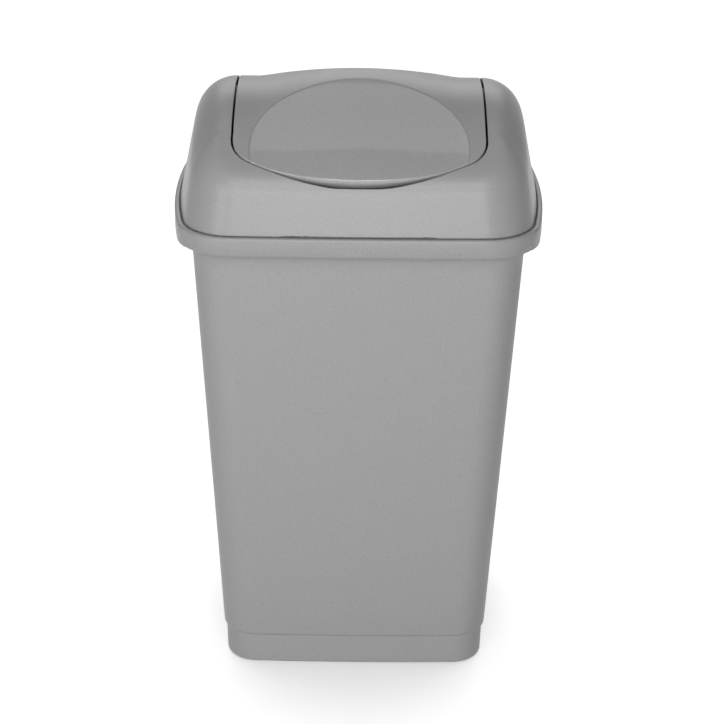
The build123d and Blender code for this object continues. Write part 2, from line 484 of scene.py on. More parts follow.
def circle(x: float, radius: float, height: float, steps: int = 64) -> Points:
    """A closed ring round an axis along x at a height."""
    angle = np.linspace(0, 2 * math.pi, steps, endpoint=False)
    return np.c_[np.full(steps, x), radius * np.cos(angle), height + radius * np.sin(angle)]


def ear_rows(sizes: BinSizes, side: int, low: float, high: float, radius: float, hole: float) -> list[Points]:
    """Loops of a plate that hangs from the roof with a round end about the pivot.

    Args:
        sizes: The bin's sizes.
        side: -1 on the left, 1 on the right.
        low: Distance of the plate's inner face from the middle.
        high: Distance of its outer face.
        radius: Radius of the round end.
        hole: Radius of the hole on the pivot's axis.

    Returns:
        Loops that join up into a closed plate.
    """
    inner = circle(side * low, hole, sizes.pivot_height)
    outer = circle(side * low, radius, sizes.pivot_height)
    upper = outer[:, 2] > sizes.pivot_height
    roof = sizes.roof_radius - sizes.wall / 2
    widened = np.clip(outer[upper, 1] * math.sqrt(2), -radius, radius)
    share = np.clip((outer[upper, 2] - sizes.pivot_height) / radius * math.sqrt(2), 0, 1)
    top = sizes.roof_axis + np.sqrt(roof**2 - widened**2)
    outer[upper, 1] = widened
    outer[upper, 2] = sizes.pivot_height + share * (top - sizes.pivot_height)
    shift = np.array([side * (high - low), 0.0, 0.0])
    return [inner, outer, outer + shift, inner + shift]


class NodeKit:
    """Adds nodes to a tree, each with its constants and links in one call."""

    def __init__(self, tree: bpy.types.NodeTree) -> None:
        """Keeps the tree."""
        self.tree = tree

    def feed(self, node: bpy.types.Node, inputs: dict[str | int, object]) -> None:
        """Links sockets to a node's inputs and sets constants on them.

        Args:
            node: The node.
            inputs: A socket or a constant for each input, by the input's name or number.
        """
        for place, value in inputs.items():
            if isinstance(value, Socket):
                self.tree.links.new(value, node.inputs[place])
            else:
                node.inputs[place].default_value = value

    def add(
        self, kind: str, inputs: dict[str | int, object] | None = None, operation: str = ""
    ) -> bpy.types.Node:
        """Adds one node.

        Args:
            kind: The node's type.
            inputs: A socket or a constant for each input, by the input's name or number.
            operation: What a maths node works out.

        Returns:
            The new node.
        """
        node = self.tree.nodes.new(kind)
        if operation:
            node.operation = operation
        self.feed(node, inputs or {})
        return node

    def calculate(self, operation: str, *values: Socket | float) -> Socket:
        """Adds one sum on single numbers."""
        return self.add("ShaderNodeMath", dict(enumerate(values)), operation).outputs["Value"]

    def scaled(self, colour: Socket | tuple[float, float, float], share: Socket) -> Socket:
        """Adds a colour's product with a number."""
        return self.add("ShaderNodeVectorMath", {0: colour, "Scale": share}, "SCALE").outputs["Vector"]

    def vector(self, **parts: Socket | float) -> Socket:
        """Adds a vector from its X, Y and Z."""
        return self.add("ShaderNodeCombineXYZ", parts).outputs["Vector"]

    def ramp(self, value: Socket, start: tuple[float, float], end: tuple[float, float]) -> Socket:
        """Adds a straight ramp that takes one range of values to another and stops at its ends."""
        limits = {"From Min": start[0], "From Max": start[1], "To Min": end[0], "To Max": end[1]}
        return self.add("ShaderNodeMapRange", {"Value": value, **limits}).outputs["Result"]

    def seen_rays(self) -> Socket:
        """Adds the test for rays from the camera, a reflection or a clear body, which gives 1."""
        paths = self.add("ShaderNodeLightPath").outputs
        mirrored = self.calculate("MAXIMUM", paths["Is Camera Ray"], paths["Is Glossy Ray"])
        return self.calculate("MAXIMUM", mirrored, paths["Is Transmission Ray"])


@dataclass(frozen=True)
class Plastic:
    """Moulded plastic with a very fine metallic fleck. Widths on the pads are in millimetres."""

    name: str
    colour: tuple[float, float, float]
    roughness: float
    polish: float | None = None
    fleck_scale: float = 1100.0
    fleck_detail: float = 2.0
    fleck_contrast: float = 0.13
    fleck_range: tuple[float, float] = (0.3, 0.7)
    cloud_scale: float = 14.0
    cloud_contrast: float = 0.02
    bump: float = 0.05
    bump_height: float = 0.05
    coat_roughness: float = 0.06
    polish_fade: float = 0.6
    # Width and depth of the painted shade line along the pads' edges, where the recess wall is shaded.
    edge_shade_width: float = 1.1
    edge_shade_depth: float = 0.35

    def build(self) -> Material:
        """Makes the material.

        Returns:
            The material, its colour, gloss and grain worked out from object coordinates.
        """
        material = bpy.data.materials.new(self.name)
        material.use_nodes = True
        kit = NodeKit(material.node_tree)
        shader = kit.tree.nodes["Principled BSDF"]
        place = kit.add("ShaderNodeTexCoord").outputs["Object"]
        fleck_inputs = {"Scale": self.fleck_scale, "Detail": self.fleck_detail, "Vector": place}
        fleck = kit.add("ShaderNodeTexNoise", fleck_inputs).outputs["Fac"]
        shades = (1.0 - self.fleck_contrast, 1.0 + self.fleck_contrast)
        tone = kit.scaled(self.colour, kit.ramp(fleck, self.fleck_range, shades))
        cloud = kit.add("ShaderNodeTexNoise", {"Scale": self.cloud_scale, "Vector": place}).outputs["Fac"]
        spread = (self.roughness - self.cloud_contrast, self.roughness + self.cloud_contrast)
        satin = kit.ramp(cloud, (0.0, 1.0), spread)
        grain_inputs = {"Strength": self.bump, "Distance": self.bump_height * MM, "Height": fleck}
        grain = kit.add("ShaderNodeBump", grain_inputs).outputs["Normal"]
        kit.feed(shader, {"Base Color": tone, "Roughness": satin, "Normal": grain})
        if self.polish is not None:
            self.polish_pads(kit, shader, satin, tone)
        return material

    def polish_pads(self, kit: NodeKit, shader: bpy.types.Node, satin: Socket, tone: Socket) -> None:
        """Makes the pads glossier than the rest, with a fine line of painted shade round their edges.

        Args:
            kit: The material's nodes.
            shader: The plastic's shader.
            satin: Roughness off the pads.
            tone: Base colour away from the painted edge shade.
        """
        mark = kit.add("ShaderNodeAttribute")
        mark.attribute_name = "pad_inset"
        inset = mark.outputs["Fac"]
        on_pad = kit.ramp(inset, (0.0, self.polish_fade), (0.0, 1.0))
        gloss = kit.add("ShaderNodeMix", {"Factor": on_pad, 2: satin, 3: self.polish}).outputs[0]
        # Painted shade: the base colour darkens in a thin line along each pad's edge.
        from_pad_edge = kit.calculate("ABSOLUTE", inset)
        line = kit.ramp(from_pad_edge, (0.0, self.edge_shade_width), (1.0 - self.edge_shade_depth, 1.0))
        coat = {"Coat Weight": on_pad, "Coat Roughness": self.coat_roughness}
        kit.feed(shader, {"Roughness": gloss, "Base Color": kit.scaled(tone, line), **coat})


def place_piece(piece: bpy.types.Object, body: Body, slot: Slot, material: Material, *nodes: str) -> None:
    """Dresses a piece and ties it to what it stands for.

    Args:
        piece: The piece.
        body: The body that it rides on.
        slot: The record's slot for its material; not used.
        material: Its material.
        nodes: The nodes of the solids that it replaces.
    """
    piece.data.materials.append(material)
    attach(piece, body.value)
    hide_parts(*nodes)
    LOG.info("%s: %d faces", piece.name, len(piece.data.polygons))


@dataclass
class Tub:
    """Tapered tub with its recessed foot and the flange round its mouth."""

    sizes: BinSizes
    flange: float = 2.0
    skirt_clearance: float = 2.7
    step_round: float = 2.4
    foot_round: float = 5.0
    foot_ring: float = 14.0
    foot_recess: float = 4.0
    floor: float = 3.0
    floor_round: float = 2.0
    lip: float = 0.6
    bend_steps: int = 3
    wall_rows: int = 14

    def rows(self) -> list[Points]:
        """Draws the tub's section.

        Returns:
            Loops from the middle of the underside, up the outside, over the mouth and down inside.
        """
        sizes, lip, wall = self.sizes, self.lip, self.sizes.wall
        top, step = sizes.seam_height - wall, sizes.plinth_height
        flange_low, inside_step, floor_top = top - self.flange, step + wall, self.foot_recess + self.floor
        foot, plinth = sizes.plinth_outline(0.0), sizes.plinth_outline(step)
        flange, mouth = sizes.rim.inset(self.skirt_clearance), sizes.tub_outline(top)
        low_flat = ring(foot.inset(self.foot_round), 0.0)
        low_wall = ring(sizes.plinth_outline(self.foot_round), self.foot_round)
        under = ring(sizes.tub_outline(step).inset(self.step_round), step)
        over = ring(sizes.tub_outline(step + self.step_round), step + self.step_round)
        heights = np.linspace(step, flange_low, self.wall_rows)[1:]
        over_and_inside = (
            (flange, lip, flange_low),
            (flange, 0.0, flange_low + lip),
            (flange, 0.0, top - lip),
            (flange, lip, top),
            (mouth, wall - lip, top),
            (mouth, wall, top - lip),
            (sizes.tub_outline(inside_step), wall, inside_step),
            (plinth, wall, inside_step),
            (sizes.plinth_outline(floor_top), wall, floor_top + self.floor_round),
            (sizes.plinth_outline(floor_top), wall + self.floor_round, floor_top),
        )
        return [
            ring(foot.inset(self.foot_ring), self.foot_recess),
            ring(foot.inset(self.foot_ring), 0.0),
            low_flat,
            *bend(low_flat, ring(foot, 0.0), low_wall, 2 * self.bend_steps),
            low_wall,
            ring(plinth, step - self.step_round),
            ring(plinth, step),
            under,
            *bend(under, ring(sizes.tub_outline(step), step), over, self.bend_steps),
            over,
            *[ring(sizes.tub_outline(height), height) for height in heights],
            *[ring(outline.inset(inset), height) for outline, inset, height in over_and_inside],
        ]

    def build(self, material: Material) -> None:
        """Makes the tub's mesh and dresses it.

        Args:
            material: The tub's material.
        """
        shell = Shell()
        loops = shell.loft(self.rows())
        shell.cap(loops[0][::-1])
        shell.cap(loops[-1])
        place_piece(shell.build("tub_shell"), Body.BIN, Slot.TUB, material, "bin_body")


@dataclass
class Collar:
    """Ring that hides the tub's flange, with a narrow ledge, side grips and the bag wall."""

    sizes: BinSizes
    edge: float = 3.0
    lip: float = 0.6
    bag_depth: float = 45.0
    bag_space: float = 1.2
    mouth_flare: float = 0.1
    rib_height: float = 6.0
    rib: float = 2.0
    rib_edge: float = 0.5
    lift_clearance: float = 0.5
    grip_proud: float = 0.74
    grip_half_length: float = 136.0
    grip_step: float = 0.35
    groove_overlap: float = 0.6
    groove_width: float = 2.0
    groove_depth: float = 1.6
    per_side: int = 30
    per_corner: int = 56
    bend_steps: int = 5

    def loop(self, outline: SoftOutline, height: float, grips: bool = False) -> Points:
        """Draws a fine loop of an outline.

        Args:
            outline: The outline.
            height: The loop's height.
            grips: Whether the side grips stand proud of it.

        Returns:
            The loop's points.
        """
        loop = ring(outline, height, self.per_side, self.per_corner)
        if grips:
            proud = ring(outline.inset(-self.grip_proud), height, self.per_side, self.per_corner)
            at_side = np.abs(loop[:, 1]) < self.grip_half_length
            for first in np.flatnonzero(at_side != np.roll(at_side, -1)):
                self.close_up(loop, proud, first, (first + 1) % len(loop))
            loop[at_side] = proud[at_side]
        return loop

    def close_up(self, plain: Points, proud: Points, first: int, second: int) -> None:
        """Moves the two points beside a grip's end close to it, for a crisp step.

        Args:
            plain: The loop off the grips.
            proud: The loop on the grips.
            first: Number of the point before the grip's end.
            second: Number of the point after it.
        """
        for loop in (plain, proud):
            start, leg = loop[first].copy(), loop[second] - loop[first]
            half_step = self.grip_step / np.linalg.norm(leg)
            reach = (math.copysign(self.grip_half_length, start[1]) - start[1]) / leg[1]
            loop[first] = start + leg * (reach - half_step)
            loop[second] = start + leg * (reach + half_step)

    def rows(self) -> list[Points]:
        """Draws the collar's section.

        Returns:
            Loops all the way round the section.
        """
        sizes, wall, edge = self.sizes, self.sizes.wall, self.rib_edge
        rim, top, low = sizes.rim, sizes.seam_height, sizes.band_bottom
        bag_low, rib_top, groove_low = top - self.bag_depth, top + self.rib_height, top - self.groove_depth
        bag = sizes.tub_outline(bag_low).inset(wall + self.bag_space)
        mouth = bag.inset(wall)
        rib = sizes.hood_outline(rib_top).inset(wall + self.lift_clearance)
        inner_rib = rib.inset(self.rib)
        groove_out = rim.inset(sizes.ledge_width - self.groove_overlap)
        groove_in = groove_out.inset(self.groove_width)
        side_low = self.loop(rim, top - self.edge, True)
        side_top = self.loop(rim.inset(self.edge), top)
        inside = (
            (groove_out, top),
            (groove_out, groove_low),
            (groove_in, groove_low),
            (groove_in, top),
            (rib, top),
            (rib, rib_top - edge),
            (rib.inset(edge), rib_top),
            (inner_rib.inset(-edge), rib_top),
            (inner_rib, rib_top - edge),
            (inner_rib, top),
            (mouth.inset(-self.mouth_flare), top),
            (mouth, top - edge),
            (mouth, bag_low),
            (bag, bag_low),
            (bag, top - wall),
        )
        return [
            self.loop(rim.inset(wall), top - wall),
            self.loop(rim.inset(wall), low),
            self.loop(rim.inset(self.lip), low, True),
            self.loop(rim, low + self.lip, True),
            side_low,
            *bend(side_low, self.loop(rim, top, True), side_top, self.bend_steps),
            side_top,
            *[self.loop(outline, height) for outline, height in inside],
        ]

    def build(self, material: Material) -> None:
        """Makes the collar's mesh and dresses it.

        Args:
            material: The collar's material.
        """
        shell = Shell()
        shell.loft(self.rows(), closed_way=True)
        place_piece(shell.build("collar_ring"), Body.COLLAR, Slot.COLLAR, material, "rim_collar")


@dataclass
class SwingProfile:
    """Outline of the flap as a width and a reach from the pivot, grown by a margin."""

    sizes: BinSizes
    grow: float = 0.0
    widest_angle: float = 1.3

    def loop(self, surface: Surface, per_side: int, per_corner: int) -> tuple[Points, Points]:
        """Lays the outline on an arched surface.

        Args:
            surface: Function of x and roof angle that gives the distance from the roof's centre line.
            per_side: Steps on each half side and half end.
            per_corner: Steps on each corner.

        Returns:
            The loop's points, and the directions away from the flap in the swept surface.
        """
        sizes = self.sizes
        half = sizes.flap_half_width + self.grow
        reach = sizes.flap_reach + self.grow
        end = sizes.flap_end_radius + self.grow
        corner = sizes.flap_corner + self.grow
        end_centre = reach - end
        corner_x = half - corner
        corner_reach = end_centre + math.sqrt((end - corner) ** 2 - corner_x**2)
        turn = math.atan2(corner_reach - end_centre, corner_x)
        side_angle = self.angle_at(np.array([half]), np.array([corner_reach]), surface)[0]
        first = np.linspace(0, side_angle, per_side, endpoint=False)
        second = np.linspace(0, turn, per_corner, endpoint=False)
        third = np.linspace(turn, math.pi / 2, per_side, endpoint=False)
        x = np.concatenate([corner_x + corner * np.cos(second), end * np.cos(third), [0.0]])
        corner_far, end_far = corner_reach + corner * np.sin(second), end_centre + end * np.sin(third)
        far = np.concatenate([corner_far, end_far, [reach]])
        angle = np.concatenate([first, self.angle_at(x, far, surface)])
        x = np.concatenate([np.full(per_side, half), x])
        away_x = np.concatenate([np.ones(per_side), np.cos(second), np.cos(third), [0.0]])
        away_far = np.sqrt(1 - away_x**2)
        x, angle = mirrored_quarter(np.c_[x, angle][:-1], (0.0, angle[-1])).T
        away = mirrored_quarter(np.c_[away_x, away_far][:-1], (0.0, 1.0))
        points = sizes.on_arch(x, angle, surface(x, angle))
        from_pivot = points - np.array([0.0, 0.0, sizes.pivot_height])
        from_pivot[:, 0] = 0
        outward = unit(from_pivot) * np.abs(away[:, 1:2])
        outward[:, 0] = away[:, 0]
        return points, outward

    def angle_at(self, x: Points, far: Points, surface: Surface) -> Points:
        """Finds where an arched surface lies at given distances from the pivot.

        Args:
            x: The places' x.
            far: Their distances from the pivot's axis.
            surface: Function of x and roof angle that gives the distance from the roof's centre line.

        Returns:
            The places' roof angles.
        """

        def short_of(angle: Points) -> Points:
            """How much nearer to the pivot a point is than it should be."""
            point = self.sizes.on_arch(x, angle, surface(x, angle))
            return far - np.hypot(point[:, 1], point[:, 2] - self.sizes.pivot_height)

        return bisect(short_of, np.zeros(len(x)), np.full(len(x), self.widest_angle))


@dataclass
class Hood:
    """Domed lid: leaning walls under an arched roof, with the flap's opening and two bearings."""

    sizes: BinSizes
    rows_up: int = 64
    samples_per_row: int = 3
    wall_samples: int = 120
    settle_rounds: int = 8
    per_side: int = 44
    per_corner: int = 28
    search_share: float = 0.6
    search_past: float = 1.0
    edge: float = 1.1
    edge_steps: int = 4
    base_edge: float = 1.0
    base_steps: int = 2
    flange_depth: float = 8.0
    flange_space: float = 1.4
    lug_radius: float = 15.0
    bearing_radius: float = 9.0
    bearing_edge: float = 0.5
    bore: float = 4.08
    thrust_gap: float = 0.4

    def wall(self, points: Points) -> Points:
        """Signed distance to the leaning walls, negative inside."""
        lean = math.cos(math.radians((self.sizes.side_lean + self.sizes.front_lean) / 2))
        return self.sizes.hood_outline(points[..., 2]).distance(points[..., 0], points[..., 1]) * lean

    def roof(self, points: Points) -> Points:
        """Signed distance to the arched roof, negative inside."""
        return np.hypot(points[..., 1], points[..., 2] - self.sizes.roof_axis) - self.sizes.roof_radius

    def distance(self, points: Points) -> Points:
        """Signed distance to the hood's outer face, negative inside."""
        turn = np.sum(slope(self.wall, points) * slope(self.roof, points), axis=-1)
        return rounded_max(self.wall(points), self.roof(points), turn, self.sizes.shoulder_radius)

    def normal(self, points: Points) -> Points:
        """Outward directions of the hood's outer face."""
        return slope(self.distance, points)

    def settle(self, points: Points) -> Points:
        """Moves points onto the hood's outer face.

        Args:
            points: Points near the face.

        Returns:
            The moved points.
        """
        for _ in range(self.settle_rounds):
            points = points - self.distance(points)[..., None] * self.normal(points)
        return points

    def surface(self, x: Points, angle: Points) -> Points:
        """Finds how far the outer face lies from the roof's centre line.

        Args:
            x: The places' x.
            angle: Their roof angles.

        Returns:
            Distances from the roof's centre line.
        """

        def inside(radius: Points) -> Points:
            """How deep a point lies inside the hood."""
            return -self.distance(self.sizes.on_arch(x, angle, radius))

        roof = np.full(len(x), self.sizes.roof_radius)
        return bisect(inside, self.search_share * roof, roof + self.search_past)

    def loop(self, height: float, inset: float = 0.0) -> Points:
        """The outline of the leaning walls at a height, drawn in by an amount."""
        return ring(self.sizes.hood_outline(height).inset(inset), height, self.per_side, self.per_corner)

    def columns(self, end: Points) -> Points:
        """Spreads a net of points over the outer face, from the seam to the opening's edge.

        Args:
            end: The opening's edge.

        Returns:
            Array of rows, points round the hood, and coordinates.
        """
        heights = np.linspace(self.sizes.seam_height, self.sizes.crown, self.wall_samples)
        walls = np.stack([self.loop(height) for height in heights])
        meet = np.argmax(self.roof(walls) > 0, axis=0)
        meet = np.where(meet == 0, len(heights) - 1, meet)
        control = walls[meet, np.arange(walls.shape[1])]
        between = self.samples_per_row * self.rows_up - 2
        path = np.stack([walls[0], *bend(walls[0], control, end, between), end])
        path[1:-1] = self.settle(path[1:-1])
        path = self.evened(path)
        path[1:-1] = self.settle(path[1:-1])
        return path

    def evened(self, path: Points) -> Points:
        """Spaces the points of each column evenly along it.

        Args:
            path: Array of rows, columns and coordinates.

        Returns:
            The same columns with one point for each row of the net.
        """
        legs = np.linalg.norm(np.diff(path, axis=0), axis=-1)
        length = np.vstack([np.zeros(legs.shape[1]), np.cumsum(legs, axis=0)])
        result = np.empty((self.rows_up + 1, *path.shape[1:]))
        for column in range(path.shape[1]):
            wanted = np.linspace(0, length[-1, column], self.rows_up + 1)
            for axis in range(3):
                result[:, column, axis] = np.interp(wanted, length[:, column], path[:, column, axis])
        return result

    def bearing_rows(self, side: int, low: float, high: float) -> list[Points]:
        """Draws one bearing, a short tube on the pivot's axis.

        Args:
            side: -1 on the left, 1 on the right.
            low: Distance of its inner end from the middle.
            high: Distance of its outer end.

        Returns:
            Loops that join up into a closed tube.
        """
        small = self.bearing_radius - self.bearing_edge
        places = (
            (low, self.bore),
            (low, small),
            (low + self.bearing_edge, self.bearing_radius),
            (high - self.bearing_edge, self.bearing_radius),
            (high, small),
            (high, self.bore),
        )
        return [circle(side * x, radius, self.sizes.pivot_height) for x, radius in places]

    def build(self, material: Material) -> None:
        """Makes the hood's mesh and dresses it.

        Args:
            material: The hood's material.
        """
        sizes = self.sizes
        profile = SwingProfile(sizes, sizes.swing_gap)
        edge, away = profile.loop(self.surface, self.per_side, self.per_corner)
        outer = self.columns(edge)
        normals = self.normal(outer)
        inward = -normals[-1]
        down = unit(inward - np.sum(inward * away, axis=-1, keepdims=True) * away)
        edge_start = edge - self.edge * unit(outer[-1] - outer[-2])
        edge_end = edge + self.edge * down
        base_wall = outer[0] + self.base_edge * unit(outer[1] - outer[0])
        base_flat = self.loop(sizes.seam_height, self.base_edge)
        inner = outer - sizes.wall * normals
        under = edge + self.flange_depth * down
        from_edge = np.linalg.norm(outer - outer[-1], axis=-1).min(axis=1)
        back = self.rows_up
        while from_edge[back] < self.flange_space * self.flange_depth and back > self.rows_up // 2:
            back -= 1
        rows = [
            base_flat,
            *bend(base_flat, outer[0], base_wall, self.base_steps),
            base_wall,
            *outer[1:-1],
            edge_start,
            *bend(edge_start, edge, edge_end, self.edge_steps),
            edge_end,
            under,
            under + sizes.wall * away,
            *inner[back:0:-1],
            self.loop(sizes.seam_height, sizes.wall),
        ]
        shell = Shell()
        shell.loft(rows, closed_way=True)
        web = sizes.flap_half_width + sizes.swing_gap
        hole = self.bearing_radius - self.bearing_edge
        start = sizes.flap_half_width + self.thrust_gap
        for side in SIDES:
            shell.loft(ear_rows(sizes, side, web, web + sizes.wall, self.lug_radius, hole), True)
            shell.loft(self.bearing_rows(side, start, web + sizes.bearing_length), True)
        place_piece(shell.build("hood_shell"), Body.LID, Slot.HOOD, material, "lid_hood")


@dataclass
class Flap:
    """Push flap: arched panel with a rib, two polished pads, an edge flange and two ears."""

    sizes: BinSizes
    per_side: int = 76
    per_corner: int = 28
    edge: float = 1.2
    edge_steps: int = 4
    crease: float = 0.5
    flange_depth: float = 8.0
    ear_radius: float = 12.0
    pin_radius: float = 4.0
    measure_step: float = 0.5
    least_steepness: float = 0.02
    inset_limit: float = 20.0

    def hump(self, x: Points) -> Points:
        """How far the rib stands above the arch, by x."""
        share = np.clip(np.abs(x) / self.sizes.pad_half_width, 0, 1)
        return self.sizes.hump_height * (1 - share**2) ** 1.5

    def pad_centre(self) -> tuple[float, float]:
        """Finds the centre of the pad's long curve.

        Returns:
            How far it lies from the middle towards the pad's lip, and its height.
        """
        sizes = self.sizes
        top_radius = sizes.roof_radius + sizes.hump_height
        lip_radius = sizes.roof_radius + sizes.pad_lip_proud
        top = Vector((sizes.pad_top, sizes.roof_axis + math.sqrt(top_radius**2 - sizes.pad_top**2)))
        lip_angle = math.atan2(sizes.eave_y, sizes.roof_radius - sizes.eave_drop)
        lip = Vector((lip_radius * math.sin(lip_angle), sizes.roof_axis + lip_radius * math.cos(lip_angle)))
        chord = lip - top
        fall = math.sqrt(sizes.pad_radius**2 - (chord.length / 2) ** 2)
        centre = (lip + top) / 2 + Vector((chord.y, -chord.x)).normalized() * fall
        return centre.x, centre.y

    def pad(self, x: Points, angle: Points) -> Points:
        """Finds how far a pad's face lies from the roof's centre line.

        Args:
            x: The places' x.
            angle: Their roof angles.

        Returns:
            Distances from the roof's centre line.
        """
        sizes = self.sizes
        ahead, height = self.pad_centre()
        away = math.hypot(ahead, height - sizes.roof_axis)
        from_roof = away + sizes.roof_radius
        depth = from_roof + sizes.hump_height - sizes.pad_radius
        share = np.clip(np.abs(x) / sizes.pad_half_width, 0, 1)
        face = from_roof + self.hump(x) - depth * (1 - share**2) - sizes.pad_end_depth * share**2
        ramp = np.clip((np.abs(x) - sizes.pad_half_width) / sizes.pad_end_ramp, 0, 1)
        drum = face + ramp * 2 * sizes.pad_end_depth
        along = ahead * np.sin(np.abs(angle)) + (height - sizes.roof_axis) * np.cos(angle)
        return along + np.sqrt(drum**2 - away**2 + along**2)

    def surface(self, x: Points, angle: Points) -> Points:
        """Distance of the flap's outer face from the roof's centre line."""
        rib = self.sizes.roof_radius + self.hump(x)
        return soft_min(rib, self.pad(x, angle), self.crease)

    def sunk_depth(self, x: Points, angle: Points) -> Points:
        """How deep a pad's face lies below the rib; negative off the pad."""
        return self.sizes.roof_radius + self.hump(x) - self.pad(x, angle)

    def pad_inset(self, x: Points, angle: Points) -> Points:
        """Estimates how far places lie from a pad's edge.

        Args:
            x: The places' x.
            angle: Their roof angles.

        Returns:
            Distances in millimetres, positive on the pad.
        """
        step = self.measure_step
        turn = step / self.sizes.roof_radius
        across = self.sunk_depth(x + step, angle) - self.sunk_depth(x - step, angle)
        along = self.sunk_depth(x, angle + turn) - self.sunk_depth(x, angle - turn)
        steepness = np.maximum(np.hypot(across, along) / (2 * step), self.least_steepness)
        return np.clip(self.sunk_depth(x, angle) / steepness, -self.inset_limit, self.inset_limit)

    def patch(self, loop: Points) -> Points:
        """Fills a closed loop of flat points with a net whose corners lie in the loop's corners.

        Args:
            loop: The loop's points.

        Returns:
            Array of rows, columns and coordinates.
        """
        start = self.per_side + self.per_corner // 2
        count = 2 * start
        rolled = np.roll(loop, start, axis=0)
        rolled = np.vstack([rolled, rolled[:1]])
        right, top, left, bottom = (rolled[side * count : (side + 1) * count + 1] for side in range(4))
        left, top = left[::-1], top[::-1]
        share = np.linspace(0, 1, count + 1)
        u, v = share[None, :, None], share[:, None, None]
        sides = (1 - u) * left[:, None] + u * right[:, None]
        ends = (1 - v) * bottom[None, :] + v * top[None, :]
        low = (1 - u) * left[0] + u * right[0]
        high = (1 - u) * left[-1] + u * right[-1]
        return sides + ends - (1 - v) * low - v * high

    def flat(self, points: Points) -> Points:
        """Points of the flap as x and roof angle."""
        angle = np.arctan2(points[..., 1], points[..., 2] - self.sizes.roof_axis)
        return np.stack([points[..., 0], angle], axis=-1)

    def net(self, loop: Points, surface: Surface) -> Points:
        """A net of points that fills a loop on an arched surface."""
        x, angle = np.moveaxis(self.patch(self.flat(loop)), -1, 0)
        return self.sizes.on_arch(x, angle, surface(x, angle))

    def build(self, material: Material) -> None:
        """Makes the flap's mesh, marks its polished pads and dresses it.

        Args:
            material: The flap's material.
        """
        sizes = self.sizes

        def sunk(amount: float) -> Surface:
            """The outer face, moved inwards."""
            return lambda x, angle: self.surface(x, angle) - amount

        def hem(x: Points, angle: Points) -> Points:
            """The face that the edge flange reaches down to."""
            return np.full_like(x, sizes.roof_radius - self.flange_depth)

        inner = sunk(sizes.flap_wall)
        start, corner, end, under, under_in, inside = (
            SwingProfile(sizes, -shrink).loop(surface, self.per_side, self.per_corner)[0]
            for shrink, surface in (
                (self.edge, self.surface),
                (0.0, self.surface),
                (0.0, sunk(self.edge)),
                (0.0, hem),
                (sizes.flap_wall, hem),
                (sizes.flap_wall, inner),
            )
        )
        shell = Shell()
        shell.grid(self.net(start, self.surface))
        shell.loft([start, *bend(start, corner, end, self.edge_steps), end, under, under_in, inside])
        shell.grid(self.net(inside, inner))
        half = sizes.flap_half_width
        for side in SIDES:
            rows = ear_rows(sizes, side, half - sizes.ear_thickness, half, self.ear_radius, self.pin_radius)
            shell.loft(rows, closed_way=True)
        piece = shell.build("flap_panel")
        mark = piece.data.attributes.new("pad_inset", "FLOAT", "POINT")
        points = np.empty(3 * len(piece.data.vertices))
        piece.data.vertices.foreach_get("co", points)
        x, angle = self.flat(points.reshape(-1, 3) / MM).T
        mark.data.foreach_set("value", self.pad_inset(x, angle).astype(np.float32))
        place_piece(piece, Body.FLAP, Slot.FLAP, material, "swing_flap")


